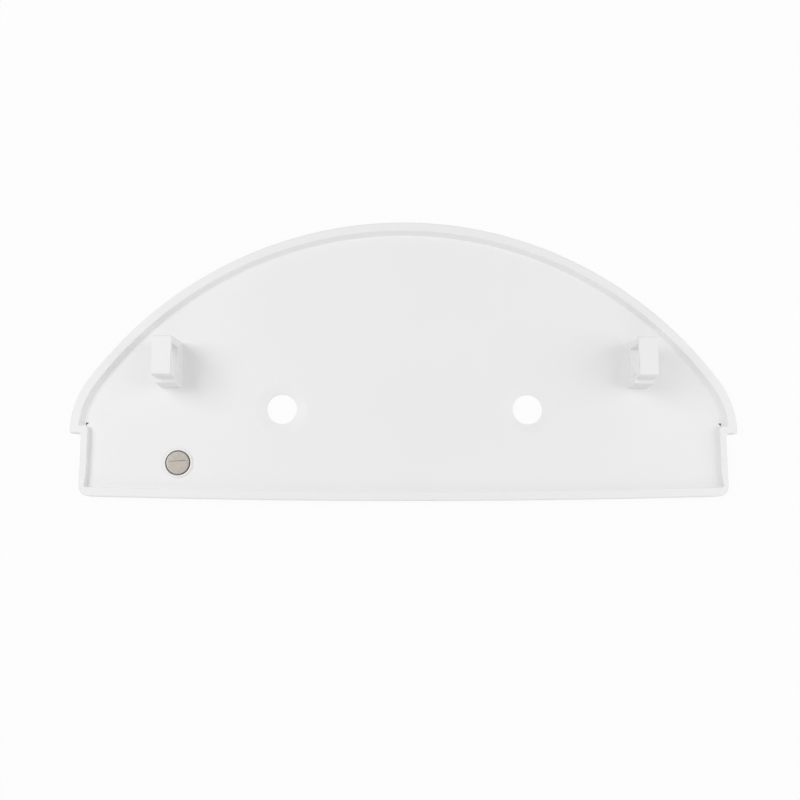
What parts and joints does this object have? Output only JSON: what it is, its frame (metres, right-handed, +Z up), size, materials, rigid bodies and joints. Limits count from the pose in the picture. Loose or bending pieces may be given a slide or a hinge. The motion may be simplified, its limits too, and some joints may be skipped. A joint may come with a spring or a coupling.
{
  "type": "robot vacuum mop plate",
  "caption": "Flat D-shaped moulded plate with a raised rim, upright clip loops, dished water holes, a disc magnet and hook strips beneath.",
  "frame": {"origin": "middle of the plate's outline in plan, on the plane that the hook tips stand on", "axes": "+X along the straight front edge, +Y from the front edge to the big arc, +Z up, the way the clip loops point"},
  "size_m": [0.29, 0.124, 0.0233],
  "materials": {
    "plate_white": "satin white ABS moulding",
    "nickel": "dull nickel plate",
    "hook_tape": "white nylon hook tape"
  },
  "bodies": {
    "root": {"plate": "plate_white", "magnet": "nickel", "hook_strip_front": "hook_tape", "hook_strip_rear": "hook_tape", "hook_strip_left": "hook_tape", "hook_strip_right": "hook_tape"}
  },
  "joints": []
}
